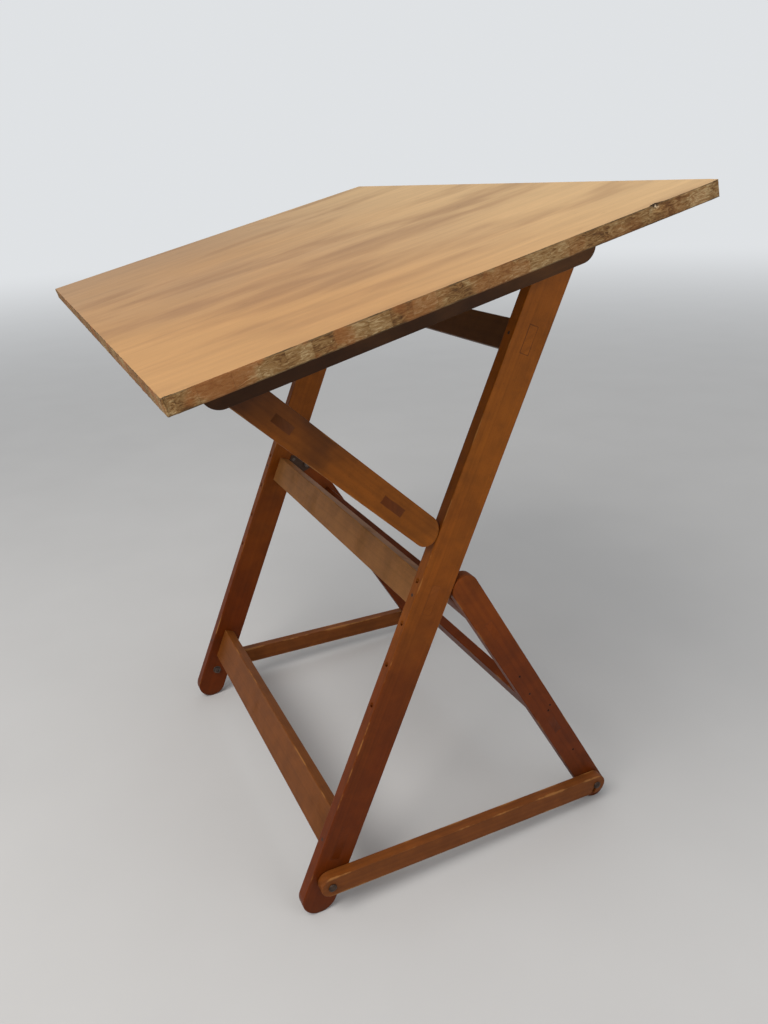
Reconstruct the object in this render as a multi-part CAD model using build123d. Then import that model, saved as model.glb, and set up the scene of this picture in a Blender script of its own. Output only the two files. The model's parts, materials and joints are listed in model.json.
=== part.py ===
from build123d import *
from math import atan2, cos, degrees, radians, sin, tan
import os

# A folding drafting table in wood. A board on two battens pivots on the top of a leaning
# long frame. A strut frame under its low edge is pegged into the front of the long legs.
# A short frame hinged behind the long legs stands as the back feet, and a stretcher on
# each side ties the two pairs of feet together.
#
# The model is drawn in the side profile: X runs from the low, front edge of the board to
# its high, back edge, Z is up, and Y is the width. The right-hand side is -Y.
# All sizes are millimetres and all angles degrees.

# Overall width of the frames, and the section of their side members
frame_width = 804.0          # over the outer faces of the legs
side_thickness = 24.0        # of the long legs and the struts, across the table

# Long frame
long_leg_width = 68.0
long_leg_lean = 66.2         # of the leg from the floor
long_leg_pivots = 1228.0     # foot centre to board pivot
long_rail_thickness = 24.0
long_top_rail_height = 52.0
long_top_rail_place = 1075.0     # foot centre to rail centre, along the leg
long_mid_rail_height = 60.0
long_mid_rail_below_hinge = 1.0
long_low_rail_height = 76.0
long_low_rail_place = 122.0

# Peg holes down the front of each long leg
peg_count = 5
peg_pitch = 80.0
peg_top_place = 721.5        # foot centre to the top hole, along the leg
peg_radius = 4.0
peg_slack = 0.6              # all round the pin in its hole
peg_hole_depth = 22.0
pin_in_hole = 13.0
pin_in_strut = 32.0

# Board
board_length = 810.0         # from the low edge to the high edge
board_width = 1200.0
board_core_thickness = 20.0
veneer_thickness = 1.5
board_tilt = 13.5
board_behind_pivot = 124.0   # from the pivot to the high edge, along the board

# Battens under the board, outside the legs
batten_thickness = 30.0
batten_depth = 68.0
batten_behind_pivot = 36.0
batten_inset = 66.0          # from the low edge of the board
batten_end_radius = 28.0
batten_gap = 2.0             # between a batten and the leg or strut inside it
leg_below_board = 5.0        # round top of the leg to the underside of the board
strut_pivot_inset = 43.0     # from the low end of the batten

# Strut frame
strut_width = 52.0
strut_rail_thickness = 20.0
strut_high_rail_height = 42.0
strut_high_rail_place = 108.0    # strut pivot to rail centre, along the strut
strut_low_rail_height = 52.0
strut_low_rail_from_peg = 110.0  # peg hole to rail centre, along the strut
strut_tip_gap = 1.0          # between the strut's tip and the front of the long leg
strut_nose_share = 0.58      # of the strut's width, for the radius of the tip's upper corner
strut_chin_share = 0.42      # and of its lower corner

# Short frame
short_leg_width = 52.0
short_rail_thickness = 22.0
short_top_rail_height = 50.0
short_top_rail_place = 117.0     # hinge to rail centre, along the leg
short_low_rail_height = 55.0
short_low_rail_place = 417.0
hinge_place = 645.0          # foot centre of the long leg to the hinge, along the leg
hinge_gap = 1.0              # between the two legs at the hinge
hinge_side_gap = 1.0         # between the short leg and the hinge plate
stance = 643.0               # between the centres of the long and short feet
fold_spare = 0.5             # left of the fold when the short frame stops, degrees

# Stretchers outside the feet
stretcher_width = 42.0
stretcher_thickness = 22.0
stretcher_gap = 1.5          # between a stretcher and the legs
stretcher_pivot_place = 45.0     # above the centre of the long foot, along the leg
stretcher_stud_place = 33.0      # above the centre of the short foot, along the leg
stud_slack = 0.5

# Joinery
tenon_share_thickness = 2 / 3    # of the rail's thickness
tenon_shoulder = 3.0
nail_radius = 1.6
nail_head_radius = 3.0
nail_head_thickness = 1.5
nail_past_tenon = 4.0

# Steel hardware
pivot_radius = 4.0
running_clearance = 0.08
face_clearance = 0.3
washer_radius = 10.0
head_radius = 8.0
head_thickness = 4.0
flush_head_radius = 7.5
flush_head_depth = 4.0
nut_width = 13.0
nut_thickness = 6.5
bolt_end = 2.0
inner_washer_thickness = 1.6

# Hinge plates
plate_thickness = 3.0
plate_eye_radius = 14.0
plate_height = 62.0
plate_above_hinge = 12.0
plate_rail_gap = 2.0         # to the back of the middle rail
plate_edge_inset = 2.0       # from the back edge of the leg
plate_screw_radius = 2.0
plate_screw_head_radius = 4.0
plate_screw_length = 18.0
plate_screw_inset = 9.0
hinge_screw_depth = 16.0

# Screws that hold the battens to the board
batten_screw_count = 4
batten_screw_radius = 2.5
batten_screw_head_radius = 5.0
batten_screw_head_thickness = 3.0
batten_screw_grip = 34.0     # of batten left above the counterbore
batten_screw_bite = 14.0     # into the board
batten_screw_inset = 70.0    # from the ends of the batten

# Distances from the centre plane of the table to the faces of its layers
leg_outer = frame_width / 2
leg_inner = leg_outer - side_thickness
leg_middle = leg_outer - side_thickness / 2
short_leg_inner = leg_inner + hinge_side_gap
batten_inner = leg_outer + batten_gap
batten_outer = batten_inner + batten_thickness
stretcher_inner = leg_outer + stretcher_gap
stretcher_outer = stretcher_inner + stretcher_thickness
plate_inner = leg_inner - plate_thickness
board_thickness = board_core_thickness + 2 * veneer_thickness
pivot_below_board = long_leg_width / 2 + leg_below_board
batten_low = board_behind_pivot + batten_inset - board_length
batten_length = batten_behind_pivot - batten_low
strut_pivot_place = -batten_low - strut_pivot_inset
long_mid_rail_place = hinge_place - long_mid_rail_below_hinge - long_mid_rail_height / 2
low_align = (Align.CENTER, Align.CENTER, Align.MIN)


# Side-profile frames: x along a member, y to its front or upper side, z to the right-hand side
def profile(origin, angle):
    direction = (cos(radians(angle)), 0, sin(radians(angle)))
    return Plane(origin=origin, x_dir=direction, z_dir=(0, -1, 0))


def heading(start, end):
    return degrees(atan2(end.Z - start.Z, end.X - start.X))


def spot(plane, along, across=0.0):
    return plane.from_local_coords(Vector(along, across, 0))


long_frame = profile((0, 0, long_leg_width / 2), long_leg_lean)
board_pivot = spot(long_frame, long_leg_pivots)
board = profile(board_pivot, board_tilt)
strut_pivot = spot(board, -strut_pivot_place)
peg_mouth = spot(long_frame, peg_top_place, long_leg_width / 2)
strut_angle = heading(strut_pivot, peg_mouth)
strut_reach = (peg_mouth - strut_pivot).length
strut_frame = profile(strut_pivot, strut_angle)

hinge_behind = long_leg_width / 2 + hinge_gap + short_leg_width / 2
hinge = spot(long_frame, hinge_place, -hinge_behind)
short_foot = Vector(stance, 0, short_leg_width / 2)
short_leg_angle = heading(hinge, short_foot)
short_leg_length = (short_foot - hinge).length
short_frame = profile(hinge, short_leg_angle)

stretcher_pivot = spot(long_frame, stretcher_pivot_place)
stud = spot(short_frame, short_leg_length - stretcher_stud_place)
stretcher_angle = heading(stretcher_pivot, stud)
stretcher_length = (stud - stretcher_pivot).length
stretcher = profile(stretcher_pivot, stretcher_angle)

# Motions. The short frame folds until it lies along the long legs, and the stretchers lift
# with it until they do too. The struts draw out of their holes along their own axis.
fold_angle = short_leg_angle - (long_leg_lean - 180) - fold_spare
stretcher_lift = long_leg_lean - stretcher_angle
stretcher_ratio = -stretcher_lift / (short_leg_angle - (long_leg_lean - 180))
tip_arm = peg_mouth - board_pivot
tip_motion = Vector(tip_arm.Z, 0, -tip_arm.X)
strut_side = Vector(-sin(radians(strut_angle)), 0, cos(radians(strut_angle)))
strut_ratio = tip_motion.dot(strut_side) / strut_reach


# One solid of a given outline, between two distances from the centre plane
def slab(plane, outline, inner, outer):
    return extrude(plane.offset(inner) * outline, outer - inner)


def rod(plane, along, across, inner, outer, radius):
    place = Pos(along, across, inner)
    return plane * place * Cylinder(radius, outer - inner, align=low_align)


def round_bar(plane, start, end, width, inner, outer):
    outline = Pos((start + end) / 2, 0) * SlotCenterToCenter(end - start, width)
    return slab(plane, outline, inner, outer)


# A rail from side to side of a frame, with a tenon at each end. What it cuts from the
# side members is the tenon carried on past their outer faces.
def rail(plane, place, height, thickness, inner):
    tenon = Box(height - 2 * tenon_shoulder, thickness * tenon_share_thickness, 2 * leg_outer)
    return plane * Pos(place, 0, 0) * (Box(height, thickness, 2 * inner) + tenon)


def mortise(plane, place, height, thickness):
    length = 2 * (leg_outer + batten_thickness)
    opening = Box(height - 2 * tenon_shoulder, thickness * tenon_share_thickness, length)
    return plane * Pos(place, 0, 0) * opening


# A nail through the narrow front of a side member that locks a tenon, its head set flush
def locking_nail(plane, place, width, thickness, middle):
    length = width / 2 + thickness * tenon_share_thickness / 2 + nail_past_tenon
    head = Pos(0, 0, -nail_head_thickness) * Cylinder(nail_head_radius, nail_head_thickness, align=low_align)
    shank = Pos(0, 0, -length) * Cylinder(nail_radius, length, align=low_align)
    front = plane.location * Pos(place, width / 2, middle) * Rot(-90, 0, 0)
    return front * (head + shank)


def both_sides(right):
    return [right, mirror(right, about=Plane.XZ)]


def square_nut(plane, along, across, inner, outer):
    place = Pos(along, across, (inner + outer) / 2)
    return plane * place * Box(nut_width, nut_width, outer - inner)


# Nodes are collected here as lists of solids
nodes = {}


def add_pair(name, right):
    nodes[name + "_right"], nodes[name + "_left"] = [[solid] for solid in both_sides(right)]


def add_group(name, rights):
    nodes[name] = [solid for right in rights for solid in both_sides(right)]


# Long frame: two legs and three rails
long_rails = {
    "long_top_rail": (long_top_rail_place, long_top_rail_height),
    "long_mid_rail": (long_mid_rail_place, long_mid_rail_height),
    "long_low_rail": (long_low_rail_place, long_low_rail_height),
}
long_leg = round_bar(long_frame, 0, long_leg_pivots, long_leg_width, leg_inner, leg_outer)
long_nails = []
for name, (place, height) in long_rails.items():
    nodes[name] = [rail(long_frame, place, height, long_rail_thickness, leg_inner)]
    long_leg -= mortise(long_frame, place, height, long_rail_thickness)
    long_nails.append(locking_nail(long_frame, place, long_leg_width, long_rail_thickness, leg_middle))

# Peg holes, sloping down into the leg along the line of the struts
for step in range(peg_count):
    mouth = spot(long_frame, peg_top_place - step * peg_pitch, long_leg_width / 2)
    drill = profile(mouth, strut_angle).location * Pos(0, 0, leg_middle) * Rot(0, 90, 0)
    hole = Pos(0, 0, -long_leg_width / 2) * Cylinder(
        peg_radius + peg_slack, long_leg_width / 2 + peg_hole_depth, align=low_align)
    long_leg -= drill * hole

# Board pivots: a bolt flush in each batten, through the top of the leg to a nut inside it
long_leg -= rod(long_frame, long_leg_pivots, 0, leg_inner, leg_outer, pivot_radius + running_clearance)


def pivot_bolt(plane, along):
    """Bolt with a flush head in the batten, its two washers and its nut, as separate solids."""
    washer_outer = leg_inner - face_clearance
    nut_outer = washer_outer - inner_washer_thickness
    nut_inner = nut_outer - nut_thickness
    shank = rod(plane, along, 0, nut_inner - bolt_end, batten_outer, pivot_radius)
    head = plane * Pos(along, 0, batten_outer - flush_head_depth) * Cone(
        pivot_radius, flush_head_radius, flush_head_depth, align=low_align)
    bolt = shank + head
    hole = rod(plane, along, 0, nut_inner - bolt_end, batten_outer, pivot_radius)
    washer = rod(plane, along, 0, nut_outer, washer_outer, washer_radius) - hole
    spacer = rod(plane, along, 0, leg_outer + face_clearance, batten_inner, washer_radius) - hole
    nut = square_nut(plane, along, 0, nut_inner, nut_outer) - hole
    return bolt, [washer, spacer], nut


board_bolt, board_washers, board_nut = pivot_bolt(board, 0)
strut_bolt, strut_washers, strut_nut = pivot_bolt(board, -strut_pivot_place)
add_group("board_pivot_bolts", [board_bolt])
add_group("board_pivot_washers", board_washers)
add_group("board_pivot_nuts", [board_nut])
add_group("strut_pivot_bolts", [strut_bolt])
add_group("strut_pivot_washers", strut_washers)
add_group("strut_pivot_nuts", [strut_nut])

# Battens, with their lower corners rounded
batten_centre = Pos((batten_low + batten_behind_pivot) / 2, pivot_below_board - batten_depth / 2)
batten_outline = batten_centre * Rectangle(batten_length, batten_depth)
batten_outline = fillet(batten_outline.vertices().group_by(Axis.Y)[0], batten_end_radius)
batten = slab(board, batten_outline, batten_inner, batten_outer) - board_bolt - strut_bolt


# Screws up through each batten into the board, their heads at the foot of a counterbore
batten_middle = (batten_inner + batten_outer) / 2
screw_span = batten_length - 2 * batten_screw_inset
screw_head_level = pivot_below_board - batten_screw_grip
batten_screws = []
counterbores = []
for step in range(batten_screw_count):
    along = batten_low + batten_screw_inset + screw_span * step / (batten_screw_count - 1)
    seat = board.location * Pos(along, screw_head_level, batten_middle) * Rot(-90, 0, 0)
    shank_length = batten_screw_grip + batten_screw_bite
    shank = Cylinder(batten_screw_radius, shank_length, align=low_align)
    head = Pos(0, 0, -batten_screw_head_thickness) * Cylinder(
        batten_screw_head_radius, batten_screw_head_thickness, align=low_align)
    batten_screws.append(seat * (shank + head))
    bore = Pos(0, 0, -batten_depth) * Cylinder(batten_screw_head_radius, batten_depth, align=low_align)
    counterbores.append(seat * bore)
for screw, bore in zip(batten_screws, counterbores):
    batten = batten - screw - bore
add_pair("batten", batten)
add_group("batten_screws", batten_screws)

# Board: a blockboard core between two face veneers
board_middle = board_behind_pivot - board_length / 2
levels = [pivot_below_board, pivot_below_board + veneer_thickness]
levels += [levels[-1] + board_core_thickness, pivot_below_board + board_thickness]
for name, low, high in zip(("board_bottom_veneer", "board_core", "board_top_veneer"), levels, levels[1:]):
    layer = board * Pos(board_middle, (low + high) / 2, 0) * Box(board_length, high - low, board_width)
    if name != "board_top_veneer":
        for screw in nodes["batten_screws"]:
            layer -= screw
    nodes[name] = [layer]

# Strut frame: two struts, two rails and a steel pin in each strut's tip. A strut is round at
# its pivot, and its tip is cut to the slope of the leg's front and has its corners rounded.
tip_slant = radians(long_leg_lean - strut_angle)
tip_end = strut_reach - strut_tip_gap / sin(tip_slant)
strut_edge = strut_width / 2
tip_offset = strut_edge / tan(tip_slant)
strut_outline = Polygon((0, strut_edge), (0, -strut_edge), (tip_end - tip_offset, -strut_edge),
                        (tip_end + tip_offset, strut_edge), align=None)
chin = strut_outline.vertices().sort_by(Axis.X)[-1]
strut_outline = fillet(chin, strut_width * strut_chin_share)
nose = strut_outline.vertices().group_by(Axis.Y)[-1].sort_by(Axis.X)[-1]
strut_outline = fillet(nose, strut_width * strut_nose_share)
strut = slab(strut_frame, strut_outline + Circle(strut_edge), leg_inner, leg_outer)
strut -= rod(strut_frame, 0, 0, leg_inner, leg_outer, pivot_radius + running_clearance)
strut_nails = []
for name, place, height in (
        ("strut_high_rail", strut_high_rail_place, strut_high_rail_height),
        ("strut_low_rail", strut_reach - strut_low_rail_from_peg, strut_low_rail_height)):
    nodes[name] = [rail(strut_frame, place, height, strut_rail_thickness, leg_inner)]
    strut -= mortise(strut_frame, place, height, strut_rail_thickness)
    strut_nails.append(locking_nail(strut_frame, place, strut_width, strut_rail_thickness, leg_middle))
tip_pin = strut_frame * Pos(tip_end - pin_in_strut, 0, leg_middle) * Rot(0, 90, 0) * Cylinder(
    peg_radius, strut_reach + pin_in_hole - tip_end + pin_in_strut, align=low_align)
strut -= tip_pin
add_group("strut_tip_pins", [tip_pin])

# Short frame: two legs and two rails, hinged behind the long legs
short_leg = round_bar(short_frame, 0, short_leg_length, short_leg_width, short_leg_inner, leg_outer)
short_middle = (short_leg_inner + leg_outer) / 2
short_nails = []
for name, place, height in (
        ("short_top_rail", short_top_rail_place, short_top_rail_height),
        ("short_low_rail", short_low_rail_place, short_low_rail_height)):
    nodes[name] = [rail(short_frame, place, height, short_rail_thickness, short_leg_inner)]
    short_leg -= mortise(short_frame, place, height, short_rail_thickness)
    short_nails.append(locking_nail(short_frame, place, short_leg_width, short_rail_thickness, short_middle))

# Hinge plates: an eye round the hinge screw, and a flange on the inner face of the leg that
# fits between the middle rail and the back edge of the leg
eye = Pos(hinge_place, -hinge_behind) * Circle(plate_eye_radius)
flange_middle = hinge_place + plate_above_hinge - plate_height / 2
flange_front = -long_rail_thickness / 2 - plate_rail_gap
flange_back = -long_leg_width / 2 + plate_edge_inset
flange_line = (flange_front + flange_back) / 2
flange = Pos(flange_middle, flange_line) * Rectangle(plate_height, flange_front - flange_back)
plate = slab(long_frame, make_hull((eye + flange).edges()), plate_inner, leg_inner)
plate -= rod(long_frame, hinge_place, -hinge_behind, plate_inner, leg_inner, pivot_radius + running_clearance)
plate_screws = []
screw_rise = plate_height / 2 - plate_screw_inset
for along in (flange_middle - screw_rise, flange_middle, flange_middle + screw_rise):
    screw = rod(long_frame, along, flange_line, plate_inner, plate_inner + plate_screw_length,
                plate_screw_radius)
    screw += long_frame * Pos(along, flange_line, plate_inner) * Cone(
        plate_screw_head_radius, plate_screw_radius, plate_thickness, align=low_align)
    plate_screws.append(screw)
for screw in plate_screws:
    plate -= screw
    long_leg -= screw
add_pair("hinge_plate", plate)
add_group("hinge_plate_screws", plate_screws)

# Hinge screws turn in the plates and are driven into the short legs
screw_head_outer = plate_inner - face_clearance
hinge_screw = rod(short_frame, 0, 0, screw_head_outer, short_leg_inner + hinge_screw_depth, pivot_radius)
hinge_washer = rod(short_frame, 0, 0, leg_inner + face_clearance, short_leg_inner, washer_radius)
hinge_washer -= hinge_screw
hinge_screw += rod(short_frame, 0, 0, screw_head_outer - head_thickness, screw_head_outer, head_radius)
short_leg -= hinge_screw
add_group("hinge_screws", [hinge_screw])
add_group("hinge_washers", [hinge_washer])

# Stretcher studs stand out of the short feet
stud_along = short_leg_length - stretcher_stud_place
stud_head_inner = stretcher_outer + face_clearance
stud_head_outer = stud_head_inner + head_thickness
stretcher_stud = rod(short_frame, stud_along, 0, short_leg_inner, stud_head_inner, pivot_radius)
stretcher_stud += rod(short_frame, stud_along, 0, stud_head_inner, stud_head_outer, head_radius)
short_leg -= rod(short_frame, stud_along, 0, short_leg_inner, leg_outer, pivot_radius)
add_group("stretcher_studs", [stretcher_stud])

# Stretcher bolts pass through the long feet to a washer and nut inside them
bolt_along = stretcher_pivot_place
foot_nut_outer = leg_inner - inner_washer_thickness
foot_nut_inner = foot_nut_outer - nut_thickness
foot_bolt = rod(long_frame, bolt_along, 0, foot_nut_inner - bolt_end, stud_head_inner, pivot_radius)
foot_washers = [
    rod(long_frame, bolt_along, 0, foot_nut_outer, leg_inner, washer_radius) - foot_bolt,
    rod(long_frame, bolt_along, 0, leg_outer, stretcher_inner - face_clearance, washer_radius) - foot_bolt,
]
foot_nut = square_nut(long_frame, bolt_along, 0, foot_nut_inner, foot_nut_outer) - foot_bolt
long_leg -= rod(long_frame, bolt_along, 0, leg_inner, leg_outer, pivot_radius)
foot_bolt += rod(long_frame, bolt_along, 0, stud_head_inner, stud_head_outer, head_radius)
add_group("stretcher_bolts", [foot_bolt])
add_group("stretcher_washers", foot_washers)
add_group("stretcher_nuts", [foot_nut])

# Stretchers: round-ended bars, with a slanting notch that drops over the stud. The notch
# follows the way the stud leaves it as the two parts turn together.
stud_arm = stud - hinge
stud_motion = Vector(stud_arm.Z, 0, -stud_arm.X)
bar_arm = stud - stretcher_pivot
bar_motion = Vector(bar_arm.Z, 0, -bar_arm.X) * stretcher_ratio
leaving = stud_motion - bar_motion
notch_angle = degrees(atan2(leaving.Z, leaving.X))
notch_radius = pivot_radius + stud_slack
notch_length = 2 * stretcher_width
notch = profile(stud, notch_angle)
notch_outline = Circle(notch_radius) + Pos(notch_length / 2, 0) * Rectangle(notch_length, 2 * notch_radius)
stretcher_bar = round_bar(
    stretcher, 0, stretcher_length, stretcher_width, stretcher_inner, stretcher_outer)
stretcher_bar -= rod(stretcher, 0, 0, stretcher_inner, stretcher_outer, pivot_radius + running_clearance)
stretcher_bar -= slab(notch, notch_outline, stretcher_inner, stretcher_outer)
add_pair("stretcher", stretcher_bar)

# Locking nails, and the side members they and the hardware pass through
for name, member, nails in (
        ("long", long_leg, long_nails), ("strut", strut, strut_nails), ("short", short_leg, short_nails)):
    for nail in nails:
        member -= nail
    add_pair("strut" if name == "strut" else name + "_leg", member)
    add_group(name + "_frame_nails", nails)
for frame_name in ("long", "strut", "short"):
    for rail_name in [node for node in nodes if node.startswith(frame_name) and node.endswith("_rail")]:
        for nail in nodes[frame_name + "_frame_nails"]:
            nodes[rail_name] = [nodes[rail_name][0] - nail]

# The origin goes to the middle of the footprint, on the floor
whole = Compound(children=[Compound(solids) for solids in nodes.values()]).bounding_box()
centre = Vector((whole.min.X + whole.max.X) / 2, 0, 0)
os.makedirs("parts", exist_ok=True)
for name, solids in nodes.items():
    placed = [Pos(-centre.X, 0, 0) * solid for shape in solids for solid in shape.solids()]
    export_step(placed[0] if len(placed) == 1 else Compound(placed), f"parts/{name}.step")

size = whole.size
print(f"{len(nodes)} nodes; size {size.X:.1f} x {size.Y:.1f} x {size.Z:.1f}; low {whole.min.Z:.3f}")
for name, point in (("board_pivot", board_pivot), ("strut_pivot", strut_pivot), ("hinge", hinge),
                    ("stretcher_pivot", stretcher_pivot), ("stud", stud), ("peg_mouth", peg_mouth),
                    ("board_top_middle", spot(board, board_middle, pivot_below_board + board_thickness))):
    print(f"{name}: {point.X - centre.X:.3f}, {point.Z:.3f}")
print(f"strut angle {strut_angle:.3f}, reach {strut_reach:.2f}, ratio {strut_ratio:.4f}")
print(f"short leg angle {short_leg_angle:.3f}, length {short_leg_length:.2f}, fold {fold_angle:.3f}")
print(f"stretcher angle {stretcher_angle:.3f}, length {stretcher_length:.2f}, ratio {stretcher_ratio:.4f}")
print(f"notch angle {notch_angle:.2f}")
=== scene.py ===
import json
from math import atan2, cos, pi, radians, sin, sqrt

import bmesh
import bpy
from mathutils import Euler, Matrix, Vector, noise

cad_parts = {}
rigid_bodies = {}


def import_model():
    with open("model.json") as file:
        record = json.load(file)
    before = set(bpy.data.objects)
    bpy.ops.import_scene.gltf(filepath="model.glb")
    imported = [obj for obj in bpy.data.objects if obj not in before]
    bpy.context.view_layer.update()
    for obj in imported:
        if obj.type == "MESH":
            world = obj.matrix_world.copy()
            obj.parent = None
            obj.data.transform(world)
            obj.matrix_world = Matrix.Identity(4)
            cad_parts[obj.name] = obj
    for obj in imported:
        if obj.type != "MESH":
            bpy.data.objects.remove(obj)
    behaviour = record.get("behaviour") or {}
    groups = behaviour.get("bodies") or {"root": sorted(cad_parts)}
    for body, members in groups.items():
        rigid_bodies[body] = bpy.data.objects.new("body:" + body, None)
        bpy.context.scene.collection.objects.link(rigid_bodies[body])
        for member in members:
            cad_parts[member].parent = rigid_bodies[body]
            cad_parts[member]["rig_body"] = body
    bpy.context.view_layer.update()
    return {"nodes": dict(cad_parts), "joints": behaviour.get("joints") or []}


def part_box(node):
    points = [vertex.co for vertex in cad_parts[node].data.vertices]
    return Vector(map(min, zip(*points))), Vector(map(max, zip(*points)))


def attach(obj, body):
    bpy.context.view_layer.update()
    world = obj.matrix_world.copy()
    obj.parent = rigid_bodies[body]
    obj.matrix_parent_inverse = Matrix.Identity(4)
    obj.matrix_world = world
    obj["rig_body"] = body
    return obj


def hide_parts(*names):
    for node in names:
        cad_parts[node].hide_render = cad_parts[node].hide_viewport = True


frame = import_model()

nodes = frame["nodes"]
pivots = {joint["name"]: Vector(joint["pos_m"]) for joint in frame["joints"]}

# ---- Long legs -----------------------------------------------------------------------------
# Two beech bars with round ends that lean back from the front feet to the board's pivots.
# They are planed square, the arrises are taken off by hand, and the varnish has darkened.
long_leg_width = 0.068
arris = 0.0018
arris_steps = 3
sharp = radians(35)             # an edge turned more than this has an arris to take off
smooth_below = radians(40)
weld = 0.00002
flat = radians(0.6)
on_outline = 0.0003             # how near a corner has to be to count as on the outline
on_face = 0.0001                # and as on a face
one_face = 0.001                # and for both ends of an edge to be on the same face


class Bar:
    """The line that a bar runs along in the side profile, and how far its faces are from the
    middle of the table."""

    def __init__(self, node, width, falls=False):
        low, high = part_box(node)
        half = width / 2
        self.start = Vector((low.x + half, 0, low.z + half))
        self.end = Vector((high.x - half, 0, high.z - half))
        if falls:
            self.start.z, self.end.z = self.end.z, self.start.z
        self.length = (self.end - self.start).length
        self.along = (self.end - self.start).normalized()
        self.up = Vector((-self.along.z, 0, self.along.x))
        self.angle = atan2(self.along.z, self.along.x)
        self.width = width
        self.inner, self.outer = sorted((abs(low.y), abs(high.y)))
        self.shaped_from = 2 * self.length      # where the outline stops being a round-ended bar

    def place(self, point):
        arm = point - self.start
        return arm.dot(self.along), arm.dot(self.up)

    def at(self, along, across=0.0):
        return self.start + self.along * along + self.up * across

    def has_arris(self, edge):
        """An edge of the outline of one of the two faces, not of a hole or a mortise in them."""
        for corner in edge.verts:
            along, across = self.place(corner.co)
            past = along - min(max(along, 0), self.length)
            off_outline = abs(Vector((past, across)).length - self.width / 2)
            off_face = min(abs(abs(corner.co.y) - face) for face in (self.inner, self.outer))
            if (off_outline > on_outline and along < self.shaped_from) or off_face > on_face:
                return False
        return abs(edge.verts[0].co.y - edge.verts[1].co.y) < one_face


def keep_flats_flat(piece):
    piece.data.shade_smooth()
    piece.data.set_sharp_from_angle(angle=smooth_below)
    normals = piece.modifiers.new("flats stay flat", "WEIGHTED_NORMAL")
    normals.keep_sharp = True


def eased(node, has_arris, slot, radius=arris):
    """A copy of a CAD piece with its arrises rounded over, which stands in for it."""
    shape = bmesh.new()
    shape.from_mesh(nodes[node].data)
    bmesh.ops.remove_doubles(shape, verts=shape.verts, dist=weld)
    bmesh.ops.dissolve_limit(shape, angle_limit=flat, verts=shape.verts, edges=shape.edges)
    edges = [edge for edge in shape.edges
             if edge.is_manifold and edge.calc_face_angle(0) > sharp and has_arris(edge)]
    bmesh.ops.bevel(shape, geom=edges, offset=radius, offset_type="OFFSET",
                    segments=arris_steps, profile=0.5, affect="EDGES", clamp_overlap=True)
    mesh = bpy.data.meshes.new("worked_" + node)
    shape.to_mesh(mesh)
    shape.free()
    return stands_for(mesh, slot, node)


def stands_for(mesh, slot, *replaced):
    piece = bpy.data.objects.new(mesh.name, mesh)
    bpy.context.scene.collection.objects.link(piece)
    keep_flats_flat(piece)
    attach(piece, nodes[replaced[0]]["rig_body"])
    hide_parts(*replaced)
    return piece


# Node trees are written with these: put adds a node, feeds gives its sockets values or links
def put(tree, kind, feeds=None, **settings):
    node = tree.nodes.new("ShaderNode" + kind)
    for name, value in settings.items():
        setattr(node, name, value)
    for socket, value in (feeds or {}).items():
        if isinstance(value, bpy.types.NodeSocket):
            tree.links.new(value, node.inputs[socket])
        else:
            node.inputs[socket].default_value = value
    return node


def sum_up(tree, operation, *values):
    return put(tree, "Math", dict(enumerate(values)), operation=operation).outputs[0]


def span(tree, value, low, high, start=0.0, end=1.0):
    feeds = {"Value": value, "From Min": low, "From Max": high, "To Min": start, "To Max": end}
    return put(tree, "MapRange", feeds, interpolation_type="SMOOTHSTEP").outputs[0]


def tint(tree, share, under, over, mode="MIX"):
    mix = put(tree, "Mix", {0: share, 6: under, 7: over}, data_type="RGBA", blend_type=mode)
    return mix.outputs[2]


def effect(name, takes, gives):
    """A shader node group: takes is {input: value to start from}, gives is {output: its kind}."""
    tree = bpy.data.node_groups.new(name, "ShaderNodeTree")
    for label, value in takes.items():
        kind = "Float" if isinstance(value, (int, float)) else "Vector"
        socket = tree.interface.new_socket(label, in_out="INPUT", socket_type="NodeSocket" + kind)
        socket.default_value = value
    for label, kind in gives.items():
        tree.interface.new_socket(label, in_out="OUTPUT", socket_type="NodeSocket" + kind)
    return tree, tree.nodes.new("NodeGroupInput").outputs, tree.nodes.new("NodeGroupOutput").inputs


def use(tree, group, feeds):
    node = put(tree, "Group", node_tree=group)
    for socket, value in feeds.items():
        if isinstance(value, bpy.types.NodeSocket):
            tree.links.new(value, node.inputs[socket])
        else:
            node.inputs[socket].default_value = value
    return node.outputs


def noise_of(tree, place, scale, detail=2.0, roughness=0.5, warp=0.0):
    feeds = {"Vector": place, "Scale": scale, "Detail": detail, "Roughness": roughness,
             "Distortion": warp}
    return put(tree, "TexNoise", feeds).outputs["Fac"]


# Wood grain: growth rings and fibres drawn out along the first axis of the place given
grain, takes, gives = effect(
    "wood grain",
    {"Place": (0, 0, 0), "Ring Pitch": 0.006, "Wander": 0.02, "Stretch": 0.05, "Seed": 0.0},
    {"Rings": "Float", "Fibre": "Float", "Flecks": "Float"})
seed = put(grain, "CombineXYZ", {0: takes["Seed"], 1: takes["Seed"], 2: takes["Seed"]}).outputs[0]
moved = put(grain, "VectorMath", {0: takes["Place"], 1: seed}, operation="ADD").outputs[0]
drawn = put(grain, "CombineXYZ", {0: takes["Stretch"], 1: 1.0, 2: 1.0}).outputs[0]
drawn = put(grain, "VectorMath", {0: moved, 1: drawn}, operation="MULTIPLY").outputs[0]
bend = put(grain, "TexNoise", {"Vector": drawn, "Scale": 9.0, "Detail": 1.0}).outputs["Color"]
bend = put(grain, "VectorMath", {0: bend, 1: (0.5, 0.5, 0.5)}, operation="SUBTRACT").outputs[0]
bend = put(grain, "VectorMath", {0: bend, "Scale": takes["Wander"]}, operation="SCALE").outputs[0]
bent = put(grain, "VectorMath", {0: moved, 1: bend}, operation="ADD").outputs[0]
bent = put(grain, "SeparateXYZ", {0: bent}).outputs
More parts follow.
